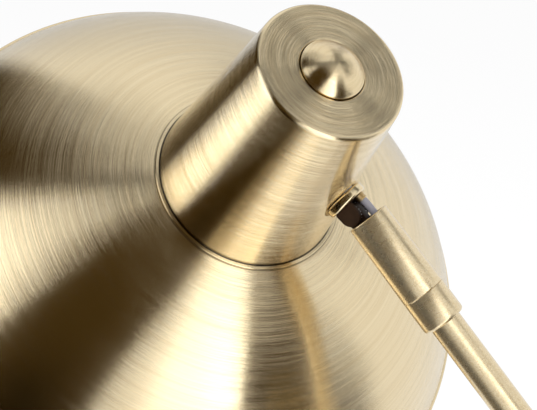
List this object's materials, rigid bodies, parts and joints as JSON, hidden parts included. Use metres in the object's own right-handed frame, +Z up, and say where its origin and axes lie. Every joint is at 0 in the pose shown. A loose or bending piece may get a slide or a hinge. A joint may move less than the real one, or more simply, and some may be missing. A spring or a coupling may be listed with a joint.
{
  "type": "table lamp",
  "caption": "Table lamp with a round weighted base, a straight arm with a hinged, turning knuckle at each end and a domed metal shade on a tapered neck with a push button.",
  "frame": {"origin": "middle of the underside of the base, under the axis that the lower knuckle turns on", "axes": "+Z up, the arm leans towards -X over the front, and the cable inlet faces +X"},
  "size_m": [0.5019, 0.2575, 0.3572],
  "materials": {
    "spun_brass": "spun sheet, brushed round the axis and lacquered in antique brass",
    "satin_brass": "turned, satin, lacquered in antique brass",
    "plain_brass": "plain turned brass",
    "black_metal": "satin black",
    "plated_steel": "bright zinc plate",
    "cast_iron": "as cast, primed",
    "felt": "black felt",
    "black_rubber": "moulded, matt",
    "black_plastic": "moulded, satin",
    "ceramic": "unglazed ceramic",
    "grey_sheath": "smooth grey sheath",
    "opal_glass": "opal glass"
  },
  "bodies": {
    "base": {"base_cover": "spun_brass", "base_weight": "cast_iron", "felt_pad": "felt", "weight_screws": "plated_steel", "cable_gland": "black_rubber", "cord_clamp": "black_plastic", "clamp_screws": "plated_steel", "terminal_block": "ceramic", "base_lead": "grey_sheath"},
    "base_fork": {"base_ring": "satin_brass", "base_fork": "black_metal", "base_stem": "plated_steel", "base_spring_washer": "plated_steel", "base_nut": "plated_steel", "base_tilt_screw": "black_metal", "base_tooth_washers": "plated_steel", "base_bush": "plain_brass", "base_fork_lead": "grey_sheath"},
    "arm": {"lower_tongue": "black_metal", "lower_sleeve": "satin_brass", "lower_collar": "satin_brass", "arm_tube": "satin_brass", "upper_collar": "satin_brass", "upper_sleeve": "satin_brass", "upper_tongue": "black_metal", "grub_screws": "black_metal", "arm_lead": "grey_sheath", "lower_gap_lead": "grey_sheath", "upper_gap_lead": "grey_sheath"},
    "head_fork": {"head_ring": "satin_brass", "head_fork": "black_metal", "head_stem": "plated_steel", "head_spring_washer": "plated_steel", "head_nut": "plated_steel", "head_tilt_screw": "black_metal", "head_tooth_washers": "plated_steel", "head_bush": "plain_brass", "head_fork_lead": "grey_sheath"},
    "head": {"shade": "spun_brass", "seat_ring": "spun_brass", "neck_cup": "spun_brass", "clamp_ring": "plated_steel", "shade_screws": "plated_steel", "holder_yoke": "plated_steel", "holder_stem": "plated_steel", "holder_nut": "plated_steel", "holder_cap": "black_plastic", "holder_shell": "black_plastic", "holder_core": "ceramic", "holder_socket": "plain_brass", "bulb_glass": "opal_glass", "bulb_cap": "plated_steel", "bulb_tip": "plain_brass", "switch_carrier": "plain_brass", "switch_body": "black_plastic", "switch_nut": "plated_steel", "head_lead": "grey_sheath"},
    "button": {"button_cap": "spun_brass", "button_plunger": "plated_steel"}
  },
  "joints": [
    {"name": "base_turn", "type": "hinge", "parent": "base", "child": "base_fork", "pos_m": [0, 0, 0.022], "axis": [0, 0, 1], "range_deg": [-170, 170]},
    {"name": "arm_tilt", "type": "hinge", "parent": "base_fork", "child": "arm", "pos_m": [-0.0012, 0, 0.0297], "axis": [0, -1, 0], "range_deg": [-50, 15], "deforming": ["lower_gap_lead"]},
    {"name": "head_tilt", "type": "hinge", "parent": "arm", "child": "head_fork", "pos_m": [-0.21332, 0, 0.28249], "axis": [0, -1, 0], "range_deg": [-45.5, 30.5], "deforming": ["upper_gap_lead"]},
    {"name": "head_turn", "type": "hinge", "parent": "head_fork", "child": "head", "pos_m": [-0.21819, 0, 0.28858], "axis": [0.7373, 0, -0.6756], "range_deg": [-200, 140]},
    {"name": "button_press", "type": "slide", "parent": "head", "child": "button", "axis": [-0.5851, 0.5, -0.6385], "range_m": [0, 0.0022], "stiffness_N_per_m": 900}
  ]
}
